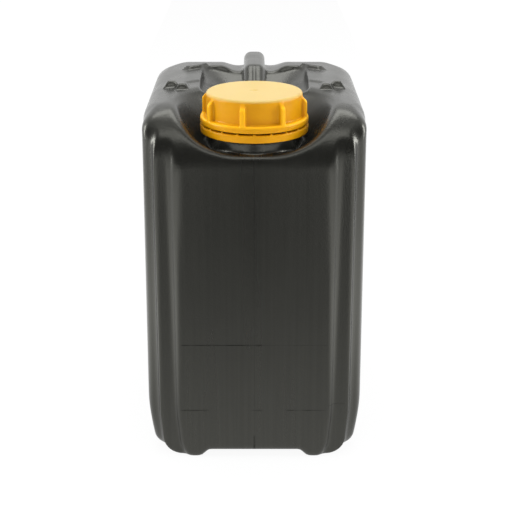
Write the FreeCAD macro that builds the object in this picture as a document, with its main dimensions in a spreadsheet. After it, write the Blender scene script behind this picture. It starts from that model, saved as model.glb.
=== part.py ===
"""Five litre stackable canister: blow moulded can, screw cap, tamper band and sealing disc.

Millimetres, +Z up, front towards -Y, origin on the floor under the middle of the can.
"""
import FreeCAD, Part
import math
import os
import Sketcher

doc = FreeCAD.newDocument("Canister")

SIZES = (
    ("can_width", 145, "across the two long sides"),
    ("can_depth", 190, "front panel to rear panel"),
    ("deck_height", 236, "floor to the deck"),
    ("wall", 1.3, "wall of the can"),
    ("ridge_inset", 9.5, "side wall to the upright ridge beside it"),
    ("strip_width", 12, "ridge to the edge of the front or rear panel"),
    ("panel_step", 3.4, "panel face to the strip beside it"),
    ("ridge_step", 6, "strip face to the flute outside the ridge"),
    ("step_slope", 1.4, "lean of the two steps"),
    ("ridge_round", 1.5, "edges of panels and ridges"),
    ("side_corner", 6, "flute to side wall"),
    ("shoulder_radius", 16, "long top edges"),
    ("roll_radius", 40, "top edges at front and rear"),
    ("keel_radius", 20, "long bottom edges"),
    ("keel_rise", 6, "underside's climb from the feet to the side walls"),
    ("toe_radius", 12, "bottom edges at front and rear"),
    ("foot_spacing", 80, "between the middles of the two feet"),
    ("foot_width", 11, "flat of each foot"),
    ("foot_height", 5, "floor to the underside between the feet"),
    ("foot_round", 3, "edges of the feet"),
    ("basin_depth", 31, "deck to the bottom of the cap basin"),
    ("basin_width", 60.5, "basin at its bottom, slopes produced"),
    ("basin_slope", 55, "slope of the basin's sides, degrees"),
    ("basin_radius", 25, "basin's bottom to its sides"),
    ("basin_lip", 8, "basin's sides to the deck"),
    ("lip_skim", 0.6, "height of the lip's brim above the deck"),
    ("well_depth", 33, "deck to the bottom of the handle well"),
    ("well_width", 62, "handle well at its bottom"),
    ("well_set", 33, "neck's axis to the front end of the well's bottom"),
    ("well_length", 66, "well's bottom, front to rear"),
    ("well_corner", 9, "upright corners of the well"),
    ("well_draft", 10, "slope of the well's walls, degrees"),
    ("well_round", 6, "well's bottom to its walls"),
    ("groove_radius", 9, "grooves in the deck beside the handle's rear leg"),
    ("groove_depth", 4, "same grooves, below the deck"),
    ("handle_width", 14.5, "across the handle"),
    ("handle_rise", 11, "deck to the top of the handle"),
    ("handle_thick", 18, "height of the grip"),
    ("handle_set", 55, "neck's axis to the front end of the level grip"),
    ("handle_length", 49, "level part of the grip"),
    ("handle_round", 5, "long edges of the handle"),
    ("front_leg", 15, "handle's front leg, front to rear"),
    ("rear_leg", 22, "reach of the handle's rear slope"),
    ("lug_height", 3.5, "stacking lugs above the deck"),
    ("lug_width", 9, "stacking lugs at the deck"),
    ("lug_inset", 16.5, "side wall to the middle of the outer lugs"),
    ("lug_step", 8, "outer lugs to the inner and the rear ones"),
    ("lug_set", 30, "neck's axis to the front of the inner lugs"),
    ("rear_lug_set", 92, "neck's axis to the front of the rear lugs"),
    ("rear_lug_turn", 48, "turn of the rear lugs, degrees"),
    ("neck_set", 35, "front panel to the neck's axis"),
    ("collar_radius", 30.5, "neck's foot, below the tamper band"),
    ("collar_height", 11, "basin's bottom to the top of the neck's foot"),
    ("thread_room", 1.7, "cap's bore to the neck's tube"),
    ("neck_wall", 2, "neck's tube"),
    ("bead_reach", 2.8, "holding bead, out from the tube"),
    ("bead_edge", 0.7, "holding bead's upright edge"),
    ("band_height", 5, "tamper band"),
    ("band_lip", 2.2, "band's inward lip, below the bead"),
    ("flange_radius", 34.4, "cap's flange and tamper band"),
    ("bridge_height", 0.9, "slot between the band and the flange"),
    ("bridge_width", 1.6, "each bridge across the slot"),
    ("bridge_depth", 1.5, "each bridge, through the band's wall"),
    ("bridge_count", 20, "bridges round the band"),
    ("cap_height", 19.6, "cap, from its flange to its top"),
    ("flange_height", 4.3, "cap's flange"),
    ("flange_edge", 0.8, "bevel of the flange's top edge"),
    ("cap_radius", 30.5, "cap's wall between the ribs"),
    ("cap_wall", 1.6, "cap's wall"),
    ("cap_roof", 1.8, "cap's top"),
    ("cap_bevel", 3, "cap's top edge"),
    ("rib_count", 8, "grip ribs"),
    ("rib_width", 3.2, "each rib"),
    ("rib_radius", 33.9, "over the ribs"),
    ("rib_drop", 1.4, "cap's top to the ribs' upper ends"),
    ("rib_bevel", 4, "slope at the ribs' upper ends"),
    ("rib_phase", -12.8, "turn of the first rib from the right side, degrees"),
    ("seal_thick", 1.6, "sealing disc"),
    ("clearance", 0.3, "gap between pieces that move past each other"),
)

sheet = doc.addObject("Spreadsheet::Sheet", "Dims")
for row, (alias, size, note) in enumerate(SIZES, start=1):
    sheet.set(f"A{row}", note)
    sheet.set(f"B{row}", str(size))
    sheet.setAlias(f"B{row}", alias)
doc.recompute()

SIDE = "Dims.can_width / 2"
END = "Dims.can_depth / 2"
NECK_Y = "(Dims.neck_set - Dims.can_depth / 2)"
BASIN_FLOOR = "(Dims.deck_height - Dims.basin_depth)"
WELL_FLOOR = "(Dims.deck_height - Dims.well_depth)"
BAND_BASE = f"({BASIN_FLOOR} + Dims.collar_height)"
BAND_TOP = f"({BAND_BASE} + Dims.band_height)"
FLANGE_BASE = f"({BAND_TOP} + Dims.bridge_height)"
FLANGE_TOP = f"({FLANGE_BASE} + Dims.flange_height)"
CAP_TOP = f"({FLANGE_BASE} + Dims.cap_height)"
SEAL_BASE = f"({CAP_TOP} - Dims.cap_roof - Dims.seal_thick)"
NECK_TOP = f"({SEAL_BASE} - Dims.clearance)"
CAP_BORE = "(Dims.cap_radius - Dims.cap_wall)"
TUBE = f"({CAP_BORE} - Dims.thread_room)"
OVERCUT = "10"


def number_of(expression):
    """The number that an expression gives with the sizes in the sheet."""
    return float(sheet.evalExpression(expression))


def new_body(name):
    """An empty body with its own origin."""
    return doc.addObject("PartDesign::Body", name)


def origin_part(body, role):
    """One of a body's own origin planes or axes."""
    return next(item for item in body.Origin.OriginFeatures if item.Role == role)


def hold_point(rules, bindings, geometry, across, up):
    """Ties a sketch point to two expressions, measured from the sketch's origin."""
    for kind, expression, axis in (("DistanceX", across, -2), ("DistanceY", up, -1)):
        if expression == "0":
            rules.append(Sketcher.Constraint("PointOnObject", geometry, 1, axis))
        else:
            rules.append(Sketcher.Constraint(kind, -1, 1, geometry, 1, number_of(expression)))
            bindings.append((len(rules) - 1, expression))


def outline(body, plane, corners, name):
    """Closed sketch through corners (across, up, radius or None for a sharp one), anticlockwise."""
    sketch = body.newObject("Sketcher::SketchObject", name)
    sketch.AttachmentSupport = (origin_part(body, plane), [""])
    sketch.MapMode = "FlatFace"
    points = [FreeCAD.Vector(number_of(across), number_of(up), 0) for across, up, _ in corners]
    count = len(corners)
    turns = []
    cuts = []
    for index, (_, _, radius) in enumerate(corners):
        arriving = points[index] - points[index - 1]
        leaving = points[(index + 1) % count] - points[index]
        turns.append(math.atan2(arriving.cross(leaving).z, arriving.dot(leaving)))
        cuts.append(number_of(radius) * math.tan(abs(turns[index]) / 2) if radius else 0.0)
    lines = []
    for index in range(count):
        following = (index + 1) % count
        along = (points[following] - points[index]).normalize()
        start = points[index] + along * cuts[index]
        stop = points[following] - along * cuts[following]
        lines.append(sketch.addGeometry(Part.LineSegment(start, stop), False))
    rules = []
    bindings = []
    for index, (across, up, radius) in enumerate(corners):
        before = lines[index - 1]
        after = lines[index]
        if not radius:
            rules.append(Sketcher.Constraint("Coincident", before, 2, after, 1))
            hold_point(rules, bindings, after, across, up)
            continue
        arc, near, far = corner_arc(sketch, before, after, turns[index], number_of(radius))
        corner = sketch.addGeometry(Part.Point(points[index]), True)
        rules.append(Sketcher.Constraint("Tangent", before, 2, arc, near))
        rules.append(Sketcher.Constraint("Tangent", after, 1, arc, far))
        rules.append(Sketcher.Constraint("PointOnObject", corner, 1, before))
        rules.append(Sketcher.Constraint("PointOnObject", corner, 1, after))
        rules.append(Sketcher.Constraint("Radius", arc, number_of(radius)))
        bindings.append((len(rules) - 1, radius))
        hold_point(rules, bindings, corner, across, up)
    sketch.addConstraint(rules)
    for index, expression in bindings:
        sketch.setExpression(f"Constraints[{index}]", expression)
    return sketch


def corner_arc(sketch, before, after, turn, radius):
    """Adds the arc between two lines; gives it with its ends at the first and at the second line."""
    first = sketch.Geometry[before].EndPoint
    last = sketch.Geometry[after].StartPoint
    along = (first - sketch.Geometry[before].StartPoint).normalize()
    inward = radius if turn > 0 else -radius
    centre = first + FreeCAD.Vector(-along.y, along.x, 0) * inward
    angles = [math.atan2((end - centre).y, (end - centre).x) for end in (first, last)]
    if turn < 0:
        angles.reverse()
    circle = Part.Circle(centre, FreeCAD.Vector(0, 0, 1), radius)
    arc = sketch.addGeometry(Part.ArcOfCircle(circle, angles[0], angles[1]), False)
    return (arc, 1, 2) if turn > 0 else (arc, 2, 1)


def mirrored(corners):
    """Corners of a right half, from bottom to top, followed by their mirror images."""
    return list(corners) + [(f"-({across})", up, radius) for across, up, radius in reversed(corners)]


def pad(body, sketch, length, name, both_ways=False):
    """Pushes the sketch out along its normal."""
    feature = body.newObject("PartDesign::Pad", name)
    feature.Profile = sketch
    feature.setExpression("Length", length)
    feature.Midplane = both_ways
    return feature


def turned(body, corners, name):
    """Turns a section (radius, height) about the body's upright axis."""
    feature = body.newObject("PartDesign::Revolution", name)
    feature.Profile = outline(body, "XZ_Plane", corners, name + "_section")
    feature.ReferenceAxis = (origin_part(body, "Z_Axis"), [""])
    feature.Angle = 360
    return feature


def around(body, original, count, name):
    """Repeats a feature round the body's upright axis."""
    feature = body.newObject("PartDesign::PolarPattern", name)
    feature.Originals = [original]
    feature.Axis = (origin_part(body, "Z_Axis"), [""])
    feature.Angle = 360
    feature.setExpression("Occurrences", count)
    body.Tip = feature
    return feature


def round_edges(body, feature, faces, radius, name):
    """Rounds every edge of the given faces."""
    wanted = [edge for face in faces for edge in face.Edges]
    names = [f"Edge{index}" for index, edge in enumerate(feature.Shape.Edges, start=1)
             if any(edge.isSame(other) for other in wanted)]
    rounded = body.newObject("PartDesign::Fillet", name)
    rounded.Base = (feature, names)
    rounded.setExpression("Radius", radius)
    return rounded


def on_neck(piece, up="0"):
    """Stands a piece on the neck's axis."""
    piece.setExpression("Placement.Base.y", NECK_Y)
    piece.setExpression("Placement.Base.z", up)


def fused(name, shapes):
    """Several shapes made one."""
    union = doc.addObject("Part::MultiFuse", name)
    union.Shapes = shapes
    return union


def without(name, base, tool):
    """A shape with another one cut out of it."""
    cut = doc.addObject("Part::Cut", name)
    cut.Base = base
    cut.Tool = tool
    return cut


def hull(name, inset):
    """The can before its hollows: plan, front view and side view in common, every face moved in by inset."""
    side = f"{SIDE} - {inset}"
    end = f"{END} - {inset}"
    deck = f"Dims.deck_height - {inset}"
    strip = f"{end} - Dims.panel_step"
    flute = f"{strip} - Dims.ridge_step"
    ridge = f"{side} - Dims.ridge_inset"
    panel = f"{ridge} - Dims.strip_width"

    plan = new_body(name + "_plan")
    quarter = [
        (panel, end, "Dims.ridge_round"),
        (f"{panel} + Dims.step_slope", strip, "Dims.ridge_round"),
        (ridge, strip, "Dims.ridge_round"),
        (f"{ridge} + Dims.step_slope", flute, "Dims.ridge_round"),
        (side, f"{flute} - Dims.step_slope", "Dims.side_corner"),
    ]
    front = [(across, f"-({up})", radius) for across, up, radius in quarter]
    plan_sketch = outline(plan, "XY_Plane", mirrored(front + quarter[::-1]), name + "_plan_sketch")
    pad(plan, plan_sketch, "Dims.deck_height", name + "_plan_pad")

    front_view = new_body(name + "_front")
    foot_out = f"(Dims.foot_spacing + Dims.foot_width - {inset}) / 2"
    foot_in = f"(Dims.foot_spacing - Dims.foot_width - {inset}) / 2"
    half = [
        (f"{foot_in} - Dims.foot_height", f"Dims.foot_height + {inset}", "Dims.foot_round"),
        (foot_in, inset, "Dims.foot_round"),
        (foot_out, inset, "Dims.foot_round"),
        (side, f"Dims.keel_rise + {inset}", "Dims.keel_radius"),
        (side, deck, "Dims.shoulder_radius"),
    ]
    front_sketch = outline(front_view, "XZ_Plane", mirrored(half), name + "_front_sketch")
    pad(front_view, front_sketch, f"Dims.can_depth + {OVERCUT}", name + "_front_pad", both_ways=True)

    side_view = new_body(name + "_side")
    half = [(end, inset, "Dims.toe_radius"), (end, deck, "Dims.roll_radius")]
    side_sketch = outline(side_view, "YZ_Plane", mirrored(half), name + "_side_sketch")
    pad(side_view, side_sketch, f"Dims.can_width + {OVERCUT}", name + "_side_pad", both_ways=True)

    common = doc.addObject("Part::MultiCommon", name)
    common.Shapes = [plan, front_view, side_view]
    return common


def basin_section(growth):
    """Right half of the basin's section, rounded outside; inside the wall its bends are flats."""
    foot = f"(Dims.basin_width / 2 + {growth})"
    floor = f"({BASIN_FLOOR} - {growth})"
    brim = f"(Dims.deck_height + Dims.lip_skim - {growth})"
    edge = f"({foot} + (Dims.basin_depth + Dims.lip_skim) / tan(Dims.basin_slope))"
    if growth == "0":
        bends = [(foot, floor, "Dims.basin_radius"), (edge, brim, "Dims.basin_lip")]
    else:
        low = "Dims.basin_radius / 5"
        high = "Dims.basin_lip / 2"
        across = "cos(Dims.basin_slope)"
        up = "sin(Dims.basin_slope)"
        bends = [
            (f"{foot} - {low}", floor, None),
            (f"{foot} + {low} * {across}", f"{floor} + {low} * {up}", None),
            (f"{edge} - {high} * {across}", f"{brim} - {high} * {up}", None),
            (f"{edge} + {high}", brim, None),
        ]
    outer = f"{edge} + Dims.basin_lip * 1.5"
    return bends + [(outer, brim, None), (outer, f"Dims.deck_height + {OVERCUT}", None)]


def basin(name, growth):
    """The bowl round the cap: its section turned about the neck and run straight out to the front."""
    body = new_body(name)
    half = basin_section(growth)
    floor = ("0", f"{BASIN_FLOOR} - {growth}", None)
    top = ("0", f"Dims.deck_height + {OVERCUT}", None)
    turned(body, [floor] + half + [top], name + "_bowl")
    channel = outline(body, "XZ_Plane", mirrored(half), name + "_channel_sketch")
    pad(body, channel, f"Dims.neck_set + {OVERCUT}", name + "_channel")
    on_neck(body)
    return body


def well(name, growth):
    """The hollow under and beside the handle."""
    body = new_body(name)
    across = f"Dims.well_width / 2 + {growth}"
    half = [
        (across, f"Dims.well_set - {growth}", f"Dims.well_corner + {growth}"),
        (across, f"Dims.well_set + Dims.well_length + {growth}", f"Dims.well_corner + {growth}"),
    ]
    sketch = outline(body, "XY_Plane", mirrored(half), name + "_sketch")
    hollow = pad(body, sketch, f"Dims.well_depth + {OVERCUT}", name + "_pad")
    hollow.setExpression("TaperAngle", "Dims.well_draft")
    on_neck(body, f"{WELL_FLOOR} - {growth}")
    if growth == "0":
        doc.recompute()
        floor = min(hollow.Shape.Faces, key=lambda face: face.CenterOfMass.z)
        round_edges(body, hollow, [floor], "Dims.well_round", name + "_round")
    return body


def grooves(name, growth):
    """Two shallow grooves that run back from the well, beside the handle's rear leg."""
    apart = "(Dims.handle_width / 2 + Dims.groove_radius / 2)"
    rods = []
    for side, sign in (("left", -1), ("right", 1)):
        rod = doc.addObject("Part::Cylinder", f"{name}_{side}")
        rod.setExpression("Radius", f"Dims.groove_radius + {growth}")
        rod.setExpression("Height", END)
        rod.Placement.Rotation = FreeCAD.Rotation(FreeCAD.Vector(1, 0, 0), -90)
        rod.setExpression("Placement.Base.x", f"{sign} * {apart}")
        rod.setExpression("Placement.Base.y", f"{NECK_Y} + Dims.well_set + Dims.well_length")
        rod.setExpression("Placement.Base.z", "Dims.deck_height - Dims.groove_depth + Dims.groove_radius")
        rods.append(rod)
    return rods


def handle():
    """The grip over the well, with its two legs."""
    body = new_body("grip")
    front = "Dims.handle_set"
    rear = "(Dims.handle_set + Dims.handle_length)"
    rise = f"(Dims.well_depth + Dims.handle_rise)"
    under = f"({rise} - Dims.handle_thick)"
    corners = [
        (f"{front} - Dims.front_leg - Dims.clearance * 10", "-Dims.wall / 2", None),
        (f"{front} - Dims.clearance * 10", "-Dims.wall / 2", None),
        (front, under, "Dims.handle_round + 2"),
        (f"{rear} - Dims.rear_leg / 2", under, "Dims.handle_round + 2"),
        (f"{rear} - Dims.rear_leg / 8", f"{under} / 2", None),
        (f"{rear} + Dims.rear_leg * 0.7", f"{under} / 2", None),
        (f"{rear} + Dims.rear_leg", "Dims.well_depth - Dims.groove_depth * 2", None),
        (rear, rise, "Dims.handle_round * 2"),
        (front, rise, "Dims.handle_round * 1.6"),
        (f"{front} - Dims.front_leg", f"{rise} - Dims.front_leg", "Dims.handle_round"),
    ]
    sketch = outline(body, "YZ_Plane", corners, "grip_sketch")
    bar = pad(body, sketch, "Dims.handle_width", "grip_pad", both_ways=True)
    on_neck(body, WELL_FLOOR)
    doc.recompute()
    reach = number_of("Dims.handle_width") / 2
    flats = [face for face in bar.Shape.Faces if math.isclose(abs(face.CenterOfMass.x), reach)]
    round_edges(body, bar, flats, "Dims.handle_round", "grip_round")
    return body


def lug(name, across, along, turn, length, level):
    """A stacking lug on the deck: upright front face, sloping sides, and a ramp behind its level top."""
    wedge = doc.addObject("Part::Wedge", name)
    half = "Dims.lug_width / 2"
    for cell, expression in (
        ("Xmin", f"-{half}"),
        ("Xmax", half),
        ("X2min", f"-{half} + Dims.lug_height * 0.8"),
        ("X2max", f"{half} - Dims.lug_height * 0.8"),
        ("Ymin", "-Dims.wall / 2"),
        ("Ymax", "Dims.lug_height"),
        ("Zmin", f"-({length})"),
        ("Zmax", "0"),
        ("Z2min", f"-({level})"),
        ("Z2max", "-Dims.lug_height / 8"),
    ):
        wedge.setExpression(cell, expression)
    upright = FreeCAD.Rotation(FreeCAD.Vector(1, 0, 0), 90)
    wedge.Placement.Rotation = FreeCAD.Rotation(FreeCAD.Vector(0, 0, 1), turn) * upright
    wedge.setExpression("Placement.Base.x", across)
    wedge.setExpression("Placement.Base.y", f"{NECK_Y} + {along}")
    wedge.setExpression("Placement.Base.z", "Dims.deck_height")
    return wedge


def lugs():
    """Three lugs on each side of the deck."""
    short = "Dims.lug_width"
    long = "Dims.lug_width * 3"
    rear_turn = number_of("Dims.rear_lug_turn")
    made = []
    for side, sign in (("left", -1), ("right", 1)):
        outer = f"{sign} * ({SIDE} - Dims.lug_inset)"
        inner = f"{sign} * ({SIDE} - Dims.lug_inset - Dims.lug_step)"
        made.append(lug(f"outer_lug_{side}", outer, f"Dims.lug_set + {short}", 0, short, f"{short} * 0.4"))
        made.append(lug(f"inner_lug_{side}", inner, "Dims.lug_set", 0, f"{short} * 1.8", f"{short} * 0.8"))
        turn = sign * rear_turn
        made.append(lug(f"rear_lug_{side}", inner, "Dims.rear_lug_set", turn, long, f"{long} * 0.9"))
    return made


def neck():
    """Foot, waist, holding bead and tube, turned in one."""
    body = new_body("neck")
    bead = f"{TUBE} + Dims.bead_reach"
    bead_base = f"({BAND_BASE} + Dims.band_lip + Dims.clearance)"
    rim_bevel = "Dims.neck_wall * 0.4"
    turned(body, [
        ("0", f"{BASIN_FLOOR} - Dims.wall", None),
        ("Dims.collar_radius", f"{BASIN_FLOOR} - Dims.wall", None),
        ("Dims.collar_radius", BAND_BASE, None),
        (TUBE, BAND_BASE, None),
        (TUBE, bead_base, None),
        (bead, bead_base, None),
        (bead, f"{bead_base} + Dims.bead_edge", None),
        (TUBE, f"{bead_base} + Dims.bead_edge + Dims.bead_reach * 0.7", None),
        (TUBE, f"{NECK_TOP} - {rim_bevel}", None),
        (f"{TUBE} - {rim_bevel}", NECK_TOP, None),
        ("0", NECK_TOP, None),
    ], "neck_turned")
    on_neck(body)
    return body


def neck_bore():
    """The way through the neck into the can, wider in the neck's foot."""
    body = new_body("neck_bore")
    narrow = f"({TUBE} - Dims.neck_wall)"
    wide = "(Dims.collar_radius - Dims.neck_wall)"
    shoulder = f"({BAND_BASE} - Dims.neck_wall)"
    turned(body, [
        ("0", f"{BASIN_FLOOR} - Dims.wall * 2", None),
        (wide, f"{BASIN_FLOOR} - Dims.wall * 2", None),
        (wide, f"{shoulder} - {wide} + {narrow}", None),
        (narrow, shoulder, None),
        (narrow, f"{NECK_TOP} + {OVERCUT}", None),
        ("0", f"{NECK_TOP} + {OVERCUT}", None),
    ], "bore_turned")
    on_neck(body)
    return body


def can_body():
    """The blown can: one closed skin with its neck, handle, lugs and feet."""
    hollows = fused("hollows", [basin("basin", "0"), well("well", "0")] + grooves("groove", "0"))
    dished = without("dished", hull("hull", "0"), hollows)
    outside = fused("outside", [dished, handle(), neck()] + lugs())
    kept = [basin("basin_skin", "Dims.wall"), well("well_skin", "Dims.wall")]
    skins = fused("skins", kept + grooves("groove_skin", "Dims.wall"))
    room = without("room", hull("hull_skin", "Dims.wall"), skins)
    return without("can_body", outside, fused("inside", [room, neck_bore()]))


def screw_cap():
    """Cap with its skirt, flange and grip ribs."""
    body = new_body("screw_cap")
    bevel = "Dims.cap_bevel"
    turned(body, [
        (CAP_BORE, FLANGE_BASE, None),
        ("Dims.flange_radius", FLANGE_BASE, None),
        ("Dims.flange_radius", f"{FLANGE_TOP} - Dims.flange_edge", None),
        ("Dims.flange_radius - Dims.flange_edge", FLANGE_TOP, None),
        ("Dims.cap_radius", FLANGE_TOP, None),
        ("Dims.cap_radius", f"{CAP_TOP} - {bevel}", None),
        (f"Dims.cap_radius - {bevel} * 0.3", f"{CAP_TOP} - {bevel} * 0.3", None),
        (f"Dims.cap_radius - {bevel}", CAP_TOP, None),
        ("0", CAP_TOP, None),
        ("0", f"{CAP_TOP} - Dims.cap_roof", None),
        (CAP_BORE, f"{CAP_TOP} - Dims.cap_roof", None),
    ], "cap_turned")
    root = "Dims.cap_radius - Dims.cap_wall / 2"
    foot = f"{FLANGE_TOP} - Dims.flange_height / 2"
    head = f"({CAP_TOP} - Dims.rib_drop)"
    section = [
        (root, foot, None),
        ("Dims.rib_radius", foot, None),
        ("Dims.rib_radius", f"{head} - Dims.rib_bevel", None),
        ("Dims.cap_radius - Dims.cap_wall / 4", head, None),
        (root, head, None),
    ]
    sketch = outline(body, "XZ_Plane", section, "rib_sketch")
    rib = pad(body, sketch, "Dims.rib_width", "rib", both_ways=True)
    around(body, rib, "Dims.rib_count", "ribs")
    body.Placement.Rotation = FreeCAD.Rotation(FreeCAD.Vector(0, 0, 1), number_of("Dims.rib_phase"))
    on_neck(body)
    return body


def tamper_band():
    """Band under the cap, held below the neck's bead, with what stands on it of its bridges."""
    body = new_body("tamper_band")
    lip = f"({TUBE} + Dims.clearance * 2)"
    slack = f"({TUBE} + Dims.bead_reach + Dims.clearance * 2)"
    turned(body, [
        (lip, BAND_BASE, None),
        ("Dims.flange_radius", BAND_BASE, None),
        ("Dims.flange_radius", BAND_TOP, None),
        (slack, BAND_TOP, None),
        (slack, f"{BAND_BASE} + Dims.band_lip", None),
        (lip, f"{BAND_BASE} + Dims.band_lip", None),
    ], "band_turned")
    outer = "Dims.flange_radius - Dims.clearance"
    foot = f"{BAND_TOP} - Dims.bridge_height"
    head = f"{FLANGE_BASE} - Dims.clearance"
    section = [
        (f"{outer} - Dims.bridge_depth", foot, None),
        (outer, foot, None),
        (outer, head, None),
        (f"{outer} - Dims.bridge_depth", head, None),
    ]
    sketch = outline(body, "XZ_Plane", section, "bridge_sketch")
    bridge = pad(body, sketch, "Dims.bridge_width", "bridge", both_ways=True)
    around(body, bridge, "Dims.bridge_count", "bridges")
    on_neck(body)
    return body


def cap_seal():
    """Sealing disc in the top of the cap."""
    disc = doc.addObject("Part::Cylinder", "cap_seal")
    disc.setExpression("Radius", f"{CAP_BORE} - Dims.clearance")
    disc.setExpression("Height", "Dims.seal_thick")
    on_neck(disc, SEAL_BASE)
    return disc


pieces = [can_body(), screw_cap(), tamper_band(), cap_seal()]
for piece in pieces:
    piece.Label = piece.Name
doc.recompute()

for item in doc.Objects:
    if any(word in item.State for word in ("Invalid", "Error")):
        raise RuntimeError(f"{item.Name} failed: {item.State}")
for piece in pieces:
    if piece.Shape.isNull() or not piece.Shape.isValid():
        raise RuntimeError(piece.Label + " has no valid shape")

os.makedirs("parts", exist_ok=True)
for piece in pieces:
    piece.Shape.exportStep(f"parts/{piece.Label}.step")
    box = piece.Shape.BoundBox
    print(piece.Label, len(piece.Shape.Solids), "solid", round(piece.Shape.Volume / 1000, 1), "cm3")
    print("  box", [round(edge, 2) for edge in (box.XMin, box.XMax, box.YMin, box.YMax, box.ZMin, box.ZMax)])
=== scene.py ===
"""Looks of the stackable canister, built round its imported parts.

The can, its cap and the tamper band are modelled as distance fields in millimetres and meshed at the end.
"""
import bpy
import math
import numpy as np
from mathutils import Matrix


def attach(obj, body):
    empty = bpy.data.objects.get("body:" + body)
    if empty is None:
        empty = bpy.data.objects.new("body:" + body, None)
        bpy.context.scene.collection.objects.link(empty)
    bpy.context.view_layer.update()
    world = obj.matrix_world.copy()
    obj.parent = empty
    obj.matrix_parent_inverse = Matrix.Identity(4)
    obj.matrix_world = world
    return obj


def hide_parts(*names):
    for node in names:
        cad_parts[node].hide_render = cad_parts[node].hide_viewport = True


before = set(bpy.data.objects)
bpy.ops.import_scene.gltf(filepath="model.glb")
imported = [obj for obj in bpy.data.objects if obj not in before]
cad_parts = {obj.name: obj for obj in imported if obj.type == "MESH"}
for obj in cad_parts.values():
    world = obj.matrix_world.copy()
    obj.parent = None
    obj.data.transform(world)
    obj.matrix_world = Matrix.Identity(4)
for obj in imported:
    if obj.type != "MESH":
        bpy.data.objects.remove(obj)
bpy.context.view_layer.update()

# Sizes in millimetres and angles in radians.
HALF_WIDTH = 72.5
HALF_DEPTH = 95.0
DECK = 236.0
SHOULDER_INSET = 1.3
STRIP_BACK = 3.6
SIDE_BACK = 10.2
NECK_Y = -60.0
BASIN_FLOOR = 205.0
WELL_FLOOR = 203.0
WELL_Y = 6.0
WELL_HALF_WIDTH = 31.0
WELL_HALF_LENGTH = 33.0
WELL_CORNER = 10.0
WELL_DRAFT = math.radians(10)
GROOVE_X = 11.75
GROOVE_AXIS = 241.0
GROOVE_RADIUS = 9.0
GROOVE_FRONT = 36.0
HANDLE_TOP = 247.0
HANDLE_UNDER = 229.0
HANDLE_HALF_WIDTH = 7.25
HANDLE_EDGE = 5.0
LUG_HEIGHT = 2.4
LUG_HALF_WIDTH = 4.0
BAND_BASE = 216.0
BAND_TOP = 220.8
FLANGE_BASE = 222.0
FLANGE_TOP = 226.2
CAP_TOP = 241.5
CAP_ROOF = 1.8
NECK_TOP = 237.8
COLLAR_FOOT = 190.0
BORE_FOOT = 160.0
COLLAR_RADIUS = 30.5
NECK_RADIUS = 27.2
NECK_WALL = 2.0
CAP_RADIUS = 30.5
CAP_BORE = 28.9
RIB_RADIUS = 33.9
RIBS = 8
RIB_HALF_WIDTH = 1.6
RIB_BEVEL = 5.4
RIB_PHASE = math.radians(-12.8)
FLANGE_RADIUS = 34.4
BRIDGES = 20
BRIDGE_HALF_WIDTH = 0.8
PITCH = 6.0
THREAD_HEIGHT = 1.2
THREAD_START = 223.0
THREAD_END = 236.6
BEAD_REACH = 2.8
NECK_ROUNDS = 160


# Distance fields: negative inside, millimetres.

def join(a, b, blend):
    """Union with a soft crease."""
    return -meet(-a, -b, blend)


def meet(a, b, blend):
    """Intersection with a soft edge."""
    blend = np.maximum(blend, 1e-6)
    share = np.clip(0.5 + 0.5 * (a - b) / blend, 0, 1)
    return b + (a - b) * share + blend * share * (1 - share)


def ramp(value, low, high):
    """Rises smoothly from 0 to 1 between two values."""
    share = np.clip((value - low) / (high - low), 0, 1)
    return share * share * (3 - 2 * share)


def arcs(corners):
    """Points along a closed outline of corners (across, up, radius), with its corners rounded."""
    points = []
    count = len(corners)
    for index, (across, up, radius) in enumerate(corners):
        here = np.array([across, up], float)
        back = np.array(corners[index - 1][:2], float) - here
        ahead = np.array(corners[(index + 1) % count][:2], float) - here
        back /= np.linalg.norm(back)
        ahead /= np.linalg.norm(ahead)
        half = math.acos(np.clip(back @ ahead, -1, 1)) / 2
        if radius == 0:
            points.append(here)
            continue
        middle = (back + ahead) / np.linalg.norm(back + ahead)
        centre = here + middle * radius / math.sin(half)
        start = here + back * radius / math.tan(half) - centre
        stop = here + ahead * radius / math.tan(half) - centre
        first = math.atan2(start[1], start[0])
        turn = (math.atan2(stop[1], stop[0]) - first + math.pi) % (2 * math.pi) - math.pi
        steps = max(3, int(abs(turn) * radius / 0.8), int(abs(turn) / 0.25))
        for angle in first + turn * np.linspace(0, 1, steps + 1):
            points.append(centre + radius * np.array([math.cos(angle), math.sin(angle)]))
    return np.array(points)


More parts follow.
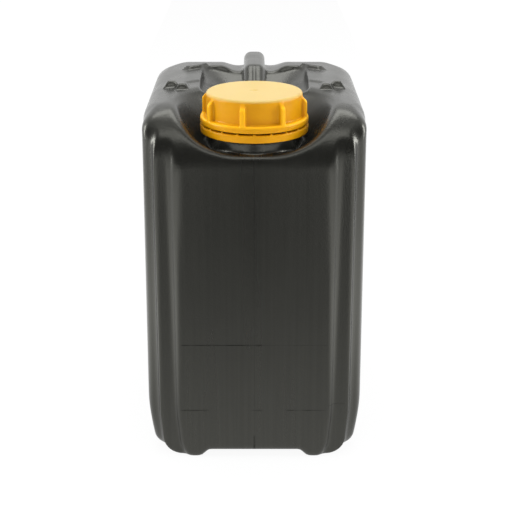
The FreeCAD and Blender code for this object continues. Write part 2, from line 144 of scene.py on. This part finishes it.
class Outline:
    """Signed distance to a closed outline, looked up in a fine table."""

    def __init__(self, corners, low, high, step=0.4):
        self.low = np.array(low, float)
        self.step = step
        across = np.arange(low[0], high[0] + step, step)
        up = np.arange(low[1], high[1] + step, step)
        u, v = np.meshgrid(across, up, indexing="ij")
        points = arcs(corners)
        nearest = np.full(u.shape, 1e9)
        inside = np.zeros(u.shape, bool)
        for (ax, ay), (bx, by) in zip(points, np.roll(points, -1, axis=0)):
            dx, dy = bx - ax, by - ay
            size = dx * dx + dy * dy
            if size < 1e-12:
                continue
            along = np.clip(((u - ax) * dx + (v - ay) * dy) / size, 0, 1)
            nearest = np.minimum(nearest, (u - ax - along * dx) ** 2 + (v - ay - along * dy) ** 2)
            if dy:
                crosses = (ay > v) != (by > v)
                inside ^= crosses & (u < ax + (v - ay) * dx / dy)
        self.table = np.where(inside, -1, 1) * np.sqrt(nearest)

    def at(self, u, v):
        """Distance at points (u, v), which broadcast against each other."""
        i = (u - self.low[0]) / self.step
        j = (v - self.low[1]) / self.step
        i0 = np.clip(i.astype(int), 0, self.table.shape[0] - 2)
        j0 = np.clip(j.astype(int), 0, self.table.shape[1] - 2)
        fi = np.clip(i - i0, 0, 1)
        fj = np.clip(j - j0, 0, 1)
        table = self.table
        near = table[i0, j0] * (1 - fi) + table[i0 + 1, j0] * fi
        far = table[i0, j0 + 1] * (1 - fi) + table[i0 + 1, j0 + 1] * fi
        return near * (1 - fj) + far * fj


def both_sides(corners):
    """Corners of a right half, from bottom to top, followed by their mirror images."""
    return list(corners) + [(-across, up, radius) for across, up, radius in reversed(corners)]


def hull_field(x, y, z):
    """The can before its hollows: three slabs, each narrower and deeper than the last, under the rolls."""
    top = [(HALF_WIDTH - SHOULDER_INSET, DECK - 4.5, 13), (46, DECK, 22)]
    whole = [(30.5, 5, 3), (34, 2, 3), (66.2, 2, 9), (HALF_WIDTH - 0.3, 34, 60)] + top
    strip = [
        (30.5, 5, 3),
        (36, 0, 4),
        (59.8, 0, 13),
        (62.6, 32, 60),
        (62.6, DECK + 12, 0),
    ]
    panel = [
        (30.5, 5, 4),
        (36, 0, 6),
        (44.5, 0, 6),
        (48.4, 9, 14),
        (50.8, 34, 60),
        (50.8, DECK + 12, 0),
    ]
    shoulder = [(HALF_WIDTH, -30, 0)] + top
    whole, strip, panel, shoulder = (Outline(both_sides(half), (-4, -8), (82, 256)).at(x, z)
                                     for half in (whole, strip, panel, shoulder))
    rolls = Outline(both_sides([(HALF_DEPTH, 0, 1), (HALF_DEPTH, DECK, 40)]), (-104, -8), (104, 256))
    wide, deep = np.abs(x), np.abs(y)
    body = meet(whole, deep - (HALF_DEPTH - SIDE_BACK), 9)
    body = join(body, meet(strip, deep - (HALF_DEPTH - STRIP_BACK), 1.6), 5)
    body = join(body, meet(panel, deep - HALF_DEPTH, 3.2), 3.5)
    # The rolls run softly into the upper corners, most of all at the rear.
    soft = 5 * ramp(deep, 60, 74) * ramp(z, 120, 180) + 10 * ramp(y, 10, 60) * ramp(z, 197, 226)
    body = meet(rolls.at(y, z), body, soft * ramp(wide, 44, 56))
    return meet(body, shoulder, 5 * ramp(deep, 50, 70) * ramp(wide, 44, 60))


def basin_field(x, y, z):
    """The bowl round the cap, turned about the neck behind it and run straight out before it."""
    brim = DECK + 0.6
    above = [(66, brim, 0), (66, 262, 0)]
    bell = [(30.25, BASIN_FLOOR, 25), (52.4, brim, 9)] + above
    spout = [(32.9, BASIN_FLOOR + 4, 44), (51.4, brim, 9)] + above
    bell, spout = (Outline(both_sides(half), (-2, 192), (110, 262)) for half in (bell, spout))
    behind = np.maximum(y - NECK_Y, 0)
    ahead = ramp(-y, 74, 93)
    return bell.at(np.hypot(x, behind), z) * (1 - ahead) + spout.at(np.abs(x), z) * ahead


def rounded(first, second, radius):
    """Intersection of two fields at right angles, with an edge of that radius."""
    first = first + radius
    second = second + radius
    outside = np.hypot(np.maximum(first, 0), np.maximum(second, 0))
    return outside + np.minimum(np.maximum(first, second), 0) - radius


def well_field(x, y, z):
    """The hollow under and beside the handle: drafted sides over a bed that rises all round."""
    spread = (z - WELL_FLOOR) * math.tan(WELL_DRAFT)
    across, along = np.abs(x), np.abs(y - WELL_Y)
    sides = rounded(across - WELL_HALF_WIDTH - spread, along - WELL_HALF_LENGTH - spread, WELL_CORNER)
    reach = ((across / (WELL_HALF_WIDTH + 6)) ** 3 + (along / (WELL_HALF_LENGTH + 6)) ** 3) ** (1 / 3)
    bed = WELL_FLOOR + 28.5 * np.maximum(reach, 0.02) ** 0.7
    hollow = meet(sides, 0.88 * (bed - z), 2.5)
    return meet(hollow, WELL_FLOOR - z, 9)


def groove_field(x, y, z):
    """Shallow grooves that run back from the well, beside the handle's rear leg."""
    rod = np.hypot(np.abs(x) - GROOVE_X, z - GROOVE_AXIS) - GROOVE_RADIUS
    return meet(rod, GROOVE_FRONT - y, 4)


def handle_field(x, y, z):
    """The grip with its two legs."""
    profile = Outline([
        (-24, 198, 0),
        (-9, 198, 0),
        (-5, HANDLE_UNDER, 8),
        (34, HANDLE_UNDER, 8),
        (42, 208, 0),
        (62, 208, 0),
        (66, 228, 0),
        (44, HANDLE_TOP, 12),
        (-6, HANDLE_TOP, 12),
        (-24, 236.5, 5),
    ], (-104, 190), (104, 256))
    return rounded(profile.at(y, z), np.abs(x) - HANDLE_HALF_WIDTH, HANDLE_EDGE)


def lug_field(x, y, z, place, turn, length, level):
    """A stacking lug: sloping front face and sides, level top and a ramp behind it."""
    across = (x - place[0]) * math.cos(turn) + (y - place[1]) * math.sin(turn)
    along = (y - place[1]) * math.cos(turn) - (x - place[0]) * math.sin(turn)
    up = z - DECK
    fall = (LUG_HEIGHT + 0.5) / (length - level)
    flank, lean = 0.7, 0.9
    ramp_down = (up - LUG_HEIGHT + (along - level) * fall) / math.hypot(1, fall)
    flanks = (np.abs(across) - LUG_HALF_WIDTH + flank * up) / math.hypot(1, flank)
    front = (lean * up - along) / math.hypot(1, lean)
    body = meet(meet(meet(flanks, up - LUG_HEIGHT, 0.8), front, 0.5), ramp_down, 0.8)
    return np.maximum(body, -2 - up)


# The right half's lugs: place, turn from straight back, length, and length of the level top.
LUGS = (
    ((55.2, -18.5), 0, 9, 3.6),
    ((47.5, -27.5), 0, 16, 7),
    ((48.5, 31.5), math.radians(53), 21, 19),
)


def can_field(x, y, z):
    """The can's outer skin up to the tamper band, for the right half."""
    shape = hull_field(x, y, z)
    shape = meet(shape, -groove_field(x, y, z), 5)
    shape = meet(shape, -basin_field(x, y, z), 5)
    for place, turn, length, level in LUGS:
        shape = join(shape, lug_field(x, y, z, place, turn, length, level), 0.4)
    shape = meet(shape, -well_field(x, y, z), 1.2)
    shape = join(shape, handle_field(x, y, z), 2.5)
    around = np.hypot(x, y - NECK_Y)
    collar = meet(around - COLLAR_RADIUS, z - BAND_BASE, 0.8)
    shape = join(shape, meet(collar, COLLAR_FOOT - z, 1), 0.8)
    bore = np.maximum(around - (NECK_RADIUS - NECK_WALL), BORE_FOOT - z)
    return np.maximum(shape, -bore)


def folded(angle, count):
    """Angle from the nearest of a number of even divisions of the circle."""
    step = 2 * math.pi / count
    return (angle + step / 2) % step - step / 2


def cap_field(x, y, z):
    """The cap with its flange and grip ribs."""
    around = np.hypot(x, y - NECK_Y)
    profile = Outline([
        (CAP_BORE, FLANGE_BASE, 0.3),
        (FLANGE_RADIUS, FLANGE_BASE, 0.5),
        (FLANGE_RADIUS, FLANGE_TOP, 1.2),
        (CAP_RADIUS, FLANGE_TOP, 0.6),
        (CAP_RADIUS, CAP_TOP, 1.8),
        (-CAP_RADIUS, CAP_TOP, 1.8),
        (-CAP_RADIUS, CAP_TOP - CAP_ROOF, 0),
        (CAP_BORE, CAP_TOP - CAP_ROOF, 0.5),
    ], (-2, 216), (42, 246), step=0.2)
    body = profile.at(around, z)
    dimple = np.sqrt(around ** 2 + (z - CAP_TOP - 6.5) ** 2) - 7
    body = meet(body, -dimple, 0.4)
    fold = folded(np.arctan2(y - NECK_Y, x) - RIB_PHASE, RIBS)
    out = around * np.cos(fold)
    wide = np.abs(around * np.sin(fold)) - RIB_HALF_WIDTH
    head = (out - RIB_RADIUS + z - (CAP_TOP - RIB_BEVEL)) / math.sqrt(2)
    rib = meet(meet(wide, out - RIB_RADIUS, 0.7), head, 0.7)
    rib = np.maximum(np.maximum(rib, 29.6 - out), FLANGE_TOP - 1.5 - z)
    return join(body, rib, 0.9)


def band_field(x, y, z):
    """The tamper band with its bridges."""
    around = np.hypot(x, y - NECK_Y)
    hook, inside, hook_top = NECK_RADIUS + 0.6, NECK_RADIUS + 3.4, BAND_BASE + 2.2
    profile = Outline([
        (hook, BAND_BASE, 0.3),
        (FLANGE_RADIUS, BAND_BASE, 0.6),
        (FLANGE_RADIUS, BAND_TOP, 0.5),
        (inside, BAND_TOP, 0.3),
        (inside, hook_top, 0.3),
        (hook, hook_top, 0.3),
    ], (20, 212), (40, 226), step=0.15)
    body = profile.at(around, z)
    fold = folded(np.arctan2(y - NECK_Y, x), BRIDGES)
    wide = np.abs(around * np.sin(fold)) - BRIDGE_HALF_WIDTH
    bridge = np.maximum(np.abs(around - FLANGE_RADIUS + 1.05) - 0.75, np.abs(z - BAND_TOP) - 0.8)
    return join(body, np.maximum(bridge, wide), 0.3)


# Meshing.

def net(field, xs, ys, zs):
    """Meshes the zero surface of a field on a grid; gives points, normals and four-sided faces."""
    grid = field(xs[:, None, None], ys[None, :, None], zs[None, None, :])
    grid = grid + np.zeros((len(xs), len(ys), len(zs)))
    inside = grid < 0
    axes = (xs, ys, zs)
    total = np.zeros((len(xs) - 1, len(ys) - 1, len(zs) - 1, 3))
    hits = np.zeros(total.shape[:3])
    flips = []
    for axis in range(3):
        first = [slice(None)] * 3
        second = [slice(None)] * 3
        first[axis] = slice(None, -1)
        second[axis] = slice(1, None)
        first, second = tuple(first), tuple(second)
        flip = inside[first] != inside[second]
        flips.append(flip)
        i, j, k = np.nonzero(flip)
        a = grid[first][i, j, k]
        share = a / (a - grid[second][i, j, k])
        spot = np.stack([xs[i], ys[j], zs[k]], axis=1)
        line = axes[axis]
        low = (i, j, k)[axis]
        spot[:, axis] = line[low] + share * (line[low + 1] - line[low])
        for du in (0, 1):
            for dv in (0, 1):
                cell = [i, j, k]
                others = [a for a in range(3) if a != axis]
                cell[others[0]] = cell[others[0]] - du
                cell[others[1]] = cell[others[1]] - dv
                ok = np.ones(len(i), bool)
                for a in range(3):
                    ok &= (cell[a] >= 0) & (cell[a] < total.shape[a])
                where = tuple(c[ok] for c in cell)
                np.add.at(total, where, spot[ok])
                np.add.at(hits, where, 1)
    # Each crossed cell gets one point, the mean of its edges' crossings, then moved onto the surface.
    used = hits > 0
    number = np.full(used.shape, -1)
    number[used] = np.arange(used.sum())
    points = total[used] / hits[used][:, None]
    cells = np.stack(np.nonzero(used), axis=1)
    points, normals = settle(grid, axes, cells, points)
    # Each crossed edge gets a face between the four cells round it.
    faces = []
    for axis in range(3):
        i, j, k = np.nonzero(flips[axis])
        others = [a for a in range(3) if a != axis]
        corner = []
        ok = np.ones(len(i), bool)
        for du, dv in ((0, 0), (1, 0), (1, 1), (0, 1)):
            cell = [i, j, k]
            cell[others[0]] = cell[others[0]] - du
            cell[others[1]] = cell[others[1]] - dv
            for a in range(3):
                ok &= (cell[a] >= 0) & (cell[a] < used.shape[a])
            corner.append(cell)
        quad = np.stack([number[tuple(np.where(ok, c, 0) for c in cell)] for cell in corner], axis=1)
        faces.append(quad[ok])
    faces = np.concatenate(faces)
    a, b, c, d = (points[faces[:, side]] for side in range(4))
    outward = np.einsum("ij,ij->i", np.cross(c - a, d - b), normals[faces].sum(axis=1)) > 0
    return points, normals, np.where(outward[:, None], faces, faces[:, ::-1])


def settle(grid, axes, cells, points):
    """Moves points onto the surface inside their cells; gives them with their normals."""
    slopes = np.gradient(grid, *axes)
    low = np.stack([axes[a][cells[:, a]] for a in range(3)], axis=1)
    size = np.stack([axes[a][cells[:, a] + 1] for a in range(3)], axis=1) - low
    normals = None
    for _ in range(3):
        share = np.clip((points - low) / size, 0, 1)
        value = corners_mixed(grid, cells, share)
        normals = np.stack([corners_mixed(slope, cells, share) for slope in slopes], axis=1)
        length = np.maximum(np.linalg.norm(normals, axis=1, keepdims=True), 1e-3)
        normals = normals / length
        step = np.clip(value / length[:, 0], -0.3, 0.3)
        points = np.clip(points - normals * step[:, None], low, low + size)
    return points, normals


def corners_mixed(grid, cells, share):
    """Trilinear value inside cells."""
    i, j, k = cells.T
    u, v, w = share.T
    total = 0
    for a, ua in ((0, 1 - u), (1, u)):
        for b, vb in ((0, 1 - v), (1, v)):
            for c, wc in ((0, 1 - w), (1, w)):
                total = total + grid[i + a, j + b, k + c] * ua * vb * wc
    return total


def mirror(points, normals, faces):
    """Adds the left half to a right half whose points start at the middle plane."""
    flipped = points * (-1, 1, 1)
    shift = len(points)
    return (np.concatenate([points, flipped]),
            np.concatenate([normals, normals * (-1, 1, 1)]),
            np.concatenate([faces, faces[:, ::-1] + shift]))


def piece(name, points, normals, faces, material):
    """A smooth mesh object from millimetre points."""
    mesh = bpy.data.meshes.new(name)
    mesh.from_pydata((points / 1000).tolist(), [], faces.tolist())
    mesh.update()
    mesh.shade_smooth()
    if normals is not None:
        mesh.normals_split_custom_set_from_vertices(normals.tolist())
    mesh.materials.append(material)
    made = bpy.data.objects.new(name, mesh)
    bpy.context.scene.collection.objects.link(made)
    return made


def spaced(*stops):
    """Grid positions from (place, step) pairs: each step holds up to the next place."""
    lines = []
    for (start, step), (stop, _) in zip(stops, stops[1:]):
        count = max(1, round((stop - start) / step))
        lines.append(np.linspace(start, stop, count, endpoint=False))
    return np.concatenate(lines + [[stops[-1][0]]])


# Materials.

def new_material(name):
    """An empty node material; gives it with its nodes, links and main shader."""
    material = bpy.data.materials.new(name)
    material.use_nodes = True
    nodes = material.node_tree.nodes
    return material, nodes, material.node_tree.links, nodes["Principled BSDF"]


def noise(nodes, links, coordinates, scale, detail=2.0, stretch=None):
    """Noise texture on the given coordinates."""
    texture = nodes.new("ShaderNodeTexNoise")
    texture.inputs["Scale"].default_value = scale
    texture.inputs["Detail"].default_value = detail
    source = coordinates
    if stretch:
        mapping = nodes.new("ShaderNodeMapping")
        mapping.inputs["Scale"].default_value = stretch
        links.new(coordinates, mapping.inputs["Vector"])
        source = mapping.outputs["Vector"]
    links.new(source, texture.inputs["Vector"])
    return texture.outputs["Fac"]


def fed(links, socket, value):
    """Gives a socket a number, a colour or another node's output."""
    if isinstance(value, (int, float)):
        socket.default_value = value
    elif isinstance(value, tuple):
        socket.default_value = (*value, 1)
    else:
        links.new(value, socket)


def mixed(nodes, links, factor, low, high, kind="RGBA"):
    """Blend of two colours, or of two numbers, by a factor."""
    node = nodes.new("ShaderNodeMix")
    node.data_type = kind
    for socket, value in (("Factor", factor), ("A", low), ("B", high)):
        fed(links, node.inputs[socket], value)
    return node.outputs["Result"]


def split(nodes, links, place):
    """The three parts of a place."""
    parts = nodes.new("ShaderNodeSeparateXYZ")
    links.new(place, parts.inputs["Vector"])
    return parts.outputs


def ranged(nodes, links, value, start, stop, low, high):
    """Maps a value from one range to another, held at its ends."""
    node = nodes.new("ShaderNodeMapRange")
    for socket, number in (("From Min", start), ("From Max", stop), ("To Min", low), ("To Max", high)):
        node.inputs[socket].default_value = number
    links.new(value, node.inputs["Value"])
    return node.outputs["Result"]


def bumped(nodes, links, height, distance, strength, below=None):
    """Bump from a height value, on top of another bump."""
    bump = nodes.new("ShaderNodeBump")
    bump.inputs["Distance"].default_value = distance
    bump.inputs["Strength"].default_value = strength
    links.new(height, bump.inputs["Height"])
    if below:
        links.new(below, bump.inputs["Normal"])
    return bump.outputs["Normal"]


def calculated(nodes, links, operation, first, *others):
    """A running maximum or product of values."""
    result = first
    for value in others:
        node = nodes.new("ShaderNodeMath")
        node.operation = operation
        fed(links, node.inputs[0], result)
        fed(links, node.inputs[1], value)
        result = node.outputs[0]
    return result


def between(nodes, links, value, low, high, fade):
    """1 between two places and 0 beyond them, in metres."""
    rising = ranged(nodes, links, value, low - fade, low, 0, 1)
    falling = ranged(nodes, links, value, high, high + fade, 1, 0)
    return calculated(nodes, links, "MULTIPLY", rising, falling)


# Marks of the mould, as boxes: opposite corners in metres, and how dark. Parting lines across the front,
# then the line and the pinch down its middle, then the lines on the handle. They fade out past their ends.
SHORT = 0.004
FINE_FADE = 0.0003
LONG_FADE = 0.002
MARKS = (
    ((-0.046, -0.1, 0.0815), (0.004, -0.086, 0.0819), 0.75),
    ((0.004, -0.1, 0.0815), (0.046, -0.086, 0.0819), 0.2),
    ((-0.047, -0.1, 0.0346), (-0.031, -0.086, 0.035), 0.6),
    ((-0.001, -0.1, 0.0346), (0.004, -0.086, 0.035), 0.8),
    ((0.022, -0.1, 0.0346), (0.046, -0.086, 0.035), 0.6),
    ((0.05, -0.1, 0.0378), (0.058, -0.086, 0.0382), 0.5),
    ((-0.0001, -0.1, 0.017), (0.0001, -0.086, 0.2), 0.22),
    ((-0.0005, -0.1, 0.0045), (0.0005, -0.086, 0.015), 0.95),
    ((-0.0013, -0.03, 0.222), (-0.0007, -0.008, 0.25), 0.75),
    ((0.0007, -0.03, 0.222), (0.0013, -0.008, 0.25), 0.75),
    ((-0.0001, -0.006, 0.23), (0.0001, 0.06, 0.25), 0.4),
)


def scratches(nodes, links, place):
    """How strongly the mould's marks show at a place: 0 off them."""
    ways = split(nodes, links, place)
    broken = ranged(nodes, links, noise(nodes, links, place, 90, 2), 0.35, 0.55, 0.35, 1)
    lines = []
    for low, high, depth in MARKS:
        box = [between(nodes, links, way, a, b, FINE_FADE if b - a < SHORT else LONG_FADE)
               for way, a, b in zip(ways, low, high)]
        lines.append(calculated(nodes, links, "MULTIPLY", *box, broken, depth))
    return calculated(nodes, links, "MAXIMUM", *lines)


def can_plastic():
    """Black blow moulded plastic: satin, faintly pebbled, streaked down its height, marked by its mould."""
    material, nodes, links, shader = new_material("can_black")
    place = nodes.new("ShaderNodeTexCoord").outputs["Object"]
    pebbles = noise(nodes, links, place, 900, 3)
    swell = noise(nodes, links, place, 28, 2)
    streaks = noise(nodes, links, place, 60, 3, (1, 1, 0.06))
    black = mixed(nodes, links, swell, (0.0052, 0.0053, 0.0044), (0.0076, 0.0077, 0.0064))
    links.new(black, shader.inputs["Base Color"])
    shader.inputs["Specular Tint"].default_value = (1, 1, 0.9, 1)
    links.new(ranged(nodes, links, streaks, 0.3, 0.7, 0.25, 0.32), shader.inputs["Roughness"])
    coarse = bumped(nodes, links, swell, 0.0008, 0.25)
    links.new(bumped(nodes, links, pebbles, 0.00012, 0.7, coarse), shader.inputs["Normal"])
    fine = noise(nodes, links, place, 420, 2, (1, 1, 0.02))
    clean = ranged(nodes, links, fine, 0.35, 0.65, 0.77, 0.83)
    unmarked = ranged(nodes, links, scratches(nodes, links, place), 0, 1, 1, 0.08)
    links.new(calculated(nodes, links, "MULTIPLY", clean, unmarked), shader.inputs["Specular IOR Level"])
    return material


def cap_plastic():
    """Yellow-orange plastic, satin and slightly translucent, with painted highlights: the roof painted
    paler and the ribs and flange rim painted brighter, for the light they catch.
    """
    material, nodes, links, shader = new_material("cap_yellow")
    place = nodes.new("ShaderNodeTexCoord").outputs["Object"]
    flow = noise(nodes, links, place, 70, 3, (1, 1, 2.5))
    grain = noise(nodes, links, place, 1400, 2)
    wall = mixed(nodes, links, flow, (0.55, 0.235, 0.0015), (0.66, 0.31, 0.003))
    # Painted highlight: a brighter yellow for the ribs' outer faces and the flange's upper rim, where light
    # catches them.
    edge_highlight = mixed(nodes, links, flow, (0.76, 0.37, 0.006), (0.82, 0.42, 0.01))
    # Painted highlight: a paler yellow for the roof, standing in for the light it reflects.
    roof_highlight = mixed(nodes, links, flow, (0.47, 0.335, 0.095), (0.5, 0.365, 0.125))
    up = split(nodes, links, place)["Z"]
    from_axis = nodes.new("ShaderNodeVectorMath")
    from_axis.operation = "MULTIPLY_ADD"
    from_axis.inputs[1].default_value = (1, 1, 0)
    from_axis.inputs[2].default_value = (0, -NECK_Y / 1000, 0)
    links.new(place, from_axis.inputs[0])
    radius = nodes.new("ShaderNodeVectorMath")
    radius.operation = "LENGTH"
    links.new(from_axis.outputs["Vector"], radius.inputs[0])
    # Where the painted highlight goes: the ribs' outer faces and the flange's upper rim.
    outer = ranged(nodes, links, radius.outputs["Value"], 0.0318, 0.033, 0, 1)
    above = ranged(nodes, links, up, 0.2245, 0.226, 0, 1)
    side = mixed(nodes, links, calculated(nodes, links, "MULTIPLY", outer, above), wall, edge_highlight)
    # Painted highlight: the roof above its top edge takes the paler yellow.
    yellow = mixed(nodes, links, ranged(nodes, links, up, 0.2396, 0.2412, 0, 1), side, roof_highlight)
    links.new(yellow, shader.inputs["Base Color"])
    shader.inputs["Roughness"].default_value = 0.32
    shader.inputs["Specular IOR Level"].default_value = 0.14
    links.new(bumped(nodes, links, grain, 0.00006, 0.3), shader.inputs["Normal"])
    shader.inputs["Subsurface Weight"].default_value = 0.12
    shader.inputs["Subsurface Radius"].default_value = (1.0, 0.45, 0.08)
    shader.inputs["Subsurface Scale"].default_value = 0.002
    return material


def foam():
    """White foamed sealing disc."""
    material, nodes, links, shader = new_material("seal_white")
    place = nodes.new("ShaderNodeTexCoord").outputs["Object"]
    cells = noise(nodes, links, place, 1500, 2)
    links.new(mixed(nodes, links, cells, (0.72, 0.72, 0.69), (0.8, 0.8, 0.77)), shader.inputs["Base Color"])
    shader.inputs["Roughness"].default_value = 0.8
    links.new(bumped(nodes, links, cells, 0.0001, 0.5), shader.inputs["Normal"])
    return material


BLACK = can_plastic()
YELLOW = cap_plastic()
WHITE = foam()

# The can: its middle plane lies halfway between the first two grid planes.
CAN_STEP = 1.35
across = np.arange(-CAN_STEP / 2, 77, CAN_STEP)
along = spaced((-98, CAN_STEP), (98, CAN_STEP))
upward = spaced((-4, 1.6), (28, 4), (44, 14), (186, 1.2), (250, 1))
can = piece("can_shell", *mirror(*net(can_field, across, along, upward)), BLACK)
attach(can, "can")
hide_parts("can_body")


def threaded_neck():
    """The neck above its foot, as one sheet: holding bead, tube and thread, then down again inside."""
    angle = np.arange(NECK_ROUNDS) * 2 * math.pi / NECK_ROUNDS

    def circle(radius, height):
        across, along = radius * np.cos(angle), NECK_Y + radius * np.sin(angle)
        return np.stack([across, along, np.full(NECK_ROUNDS, height)], axis=1)

    bead = [218.4, 218.5, 219.2, 221.2]
    levels = np.concatenate([[BAND_BASE - 1], bead, np.arange(221.4, 236.9, 0.3), [237.3, NECK_TOP]])
    reach = np.interp(levels, bead, [0, BEAD_REACH, BEAD_REACH, 0], left=0, right=0)
    reach = reach - 0.5 * (levels >= NECK_TOP)
    rows = []
    for level, out in zip(levels, reach):
        turn = (level - PITCH * angle / (2 * math.pi) - 1.5) % PITCH
        tooth = np.clip((1.5 - np.abs(turn - PITCH / 2)) / 0.7, 0, 1) * THREAD_HEIGHT
        window = np.clip((level - THREAD_START) / 0.9, 0, 1) * np.clip((THREAD_END - level) / 0.9, 0, 1)
        rows.append(circle(NECK_RADIUS + out + tooth * window, level))
    bore = NECK_RADIUS - NECK_WALL
    rows += [circle(bore + 0.5, NECK_TOP), circle(bore, NECK_TOP - 0.5), circle(bore, 205)]
    index = np.arange(len(rows) * NECK_ROUNDS).reshape(len(rows), NECK_ROUNDS)
    right = np.roll(index, -1, axis=1)
    faces = np.stack([index[:-1], right[:-1], right[1:], index[1:]], axis=-1).reshape(-1, 4)
    return np.concatenate(rows), faces


# The neck, plain below and threaded above.
neck_points, neck_faces = threaded_neck()
neck = piece("neck_thread", neck_points, None, neck_faces, BLACK)
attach(neck, "can")
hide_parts("can_body")

# The cap and the tamper band.
ring = spaced((-36, 0.62), (36, 0.62))
cap_levels = spaced((221, 0.6), (243, 0.6))
band_levels = spaced((215, 0.42), (222.6, 0.42))
cap = piece("cap_shell", *net(cap_field, ring, ring + NECK_Y, cap_levels), YELLOW)
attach(cap, "cap")
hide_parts("screw_cap")
band = piece("band_shell", *net(band_field, ring, ring + NECK_Y, band_levels), YELLOW)
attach(band, "can")
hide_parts("tamper_band")

# The seal keeps its solid.
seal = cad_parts["cap_seal"]
seal.data.materials.clear()
seal.data.materials.append(WHITE)


# Stage: a white table in a white surround that reflections show dimmer overhead and in front.

def ray_kinds(nodes):
    """Whether a ray comes from the camera, a gloss or a clear body."""
    rays = nodes.new("ShaderNodeLightPath").outputs
    return rays["Is Camera Ray"], rays["Is Glossy Ray"], rays["Is Transmission Ray"]


def floor_material():
    """White to the camera. In reflections it dims away from the object, as a table top does in a room."""
    material, nodes, links, shader = new_material("floor_white")
    shader.inputs["Base Color"].default_value = (0.85, 0.85, 0.85, 1)
    shader.inputs["Roughness"].default_value = 0.9
    place = nodes.new("ShaderNodeTexCoord").outputs["Object"]
    reach = nodes.new("ShaderNodeVectorMath")
    reach.operation = "ABSOLUTE"
    links.new(place, reach.inputs[0])
    parts = split(nodes, links, reach.outputs["Vector"])
    ahead = ranged(nodes, links, parts["Y"], 0.1, 0.57, 0.9, 0.04)
    beside = ranged(nodes, links, parts["X"], 0.2, 0.7, 2.1, 0.8)
    seen = mixed(nodes, links, ranged(nodes, links, parts["X"], 0.1, 0.3, 0, 1), ahead, beside, "FLOAT")
    camera_ray, glossy_ray, clear_ray = ray_kinds(nodes)
    glow = nodes.new("ShaderNodeEmission")
    links.new(calculated(nodes, links, "MAXIMUM", camera_ray, seen), glow.inputs["Strength"])
    direct = calculated(nodes, links, "MAXIMUM", camera_ray, glossy_ray, clear_ray)
    share = calculated(nodes, links, "MULTIPLY", direct, 0.93)
    blend = nodes.new("ShaderNodeMixShader")
    links.new(share, blend.inputs["Fac"])
    links.new(shader.outputs["BSDF"], blend.inputs[1])
    links.new(glow.outputs["Emission"], blend.inputs[2])
    links.new(blend.outputs["Shader"], nodes["Material Output"].inputs["Surface"])
    return material


def surround():
    """World: white to the camera; in reflections dimmer overhead and on the camera's side of the room."""
    world = bpy.data.worlds.new("surround")
    world.use_nodes = True
    nodes = world.node_tree.nodes
    links = world.node_tree.links
    way = split(nodes, links, nodes.new("ShaderNodeTexCoord").outputs["Generated"])
    overhead = ranged(nodes, links, way["Z"], 0.45, 0.9, 1.1, 0.6)
    behind = ranged(nodes, links, way["Y"], -0.6, 0.0, 0.08, 1.0)
    sky = calculated(nodes, links, "MULTIPLY", overhead, behind)
    camera_ray, glossy_ray, clear_ray = ray_kinds(nodes)
    direct = calculated(nodes, links, "MAXIMUM", glossy_ray, clear_ray)
    level = mixed(nodes, links, direct, 0.65, sky, "FLOAT")
    strength = calculated(nodes, links, "MAXIMUM", camera_ray, level)
    links.new(strength, nodes["Background"].inputs["Strength"])
    nodes["Background"].inputs["Color"].default_value = (1, 1, 1, 1)
    bpy.context.scene.world = world


table = bpy.data.meshes.new("floor")
table.from_pydata([(-3, -3, 0), (3, -3, 0), (3, 3, 0), (-3, 3, 0)], [], [(0, 1, 2, 3)])
table.materials.append(floor_material())
floor = bpy.data.objects.new("floor", table)
bpy.context.scene.collection.objects.link(floor)
surround()


def soft_light(name, place, aim, size, power):
    """A rectangular studio lamp aimed at a point."""
    lamp = bpy.data.lights.new(name, "AREA")
    lamp.shape = "RECTANGLE"
    lamp.size, lamp.size_y = size
    lamp.energy = power
    made = bpy.data.objects.new(name, lamp)
    bpy.context.scene.collection.objects.link(made)
    away = [p - a for p, a in zip(place, aim)]
    made.location = place
    tilt = math.atan2(math.hypot(away[0], away[1]), away[2])
    made.rotation_euler = (tilt, 0, math.atan2(away[0], -away[1]))
    return made


soft_light("behind", (0, 0.55, 1.6), (0, 0, 0.2), (1.2, 0.8), 9)
overhead = soft_light("overhead", (0, 0.1, 1.7), (0, 0, 0.2), (1.0, 1.0), 15)
overhead.visible_glossy = False
soft_light("front", (0, -1.2, 2.0), (0, 0, 0.15), (1.2, 0.8), 6)
soft_light("left", (-1.1, -0.1, 0.5), (0, 0, 0.12), (0.35, 0.9), 9)
soft_light("right", (1.1, -0.1, 0.5), (0, 0, 0.12), (0.35, 0.9), 9)

# The photograph's camera, in front of the can and above it.
FRAME_PIXELS = 510
SENSOR_WIDTH = 36
FOCAL_PIXELS = 1156.5
LOOK_DOWN = math.radians(18.362)
camera = bpy.data.cameras.new("camera")
camera.sensor_width = SENSOR_WIDTH
camera.lens = FOCAL_PIXELS / FRAME_PIXELS * SENSOR_WIDTH
camera.shift_x = 0.0014
camera.shift_y = -0.0992
eye = bpy.data.objects.new("camera", camera)
eye.location = (0, -0.7741, 0.4029)
eye.rotation_euler = (math.pi / 2 - LOOK_DOWN, 0, 0)
bpy.context.scene.collection.objects.link(eye)
bpy.context.scene.camera = eye

bpy.context.scene.view_settings.view_transform = "Standard"
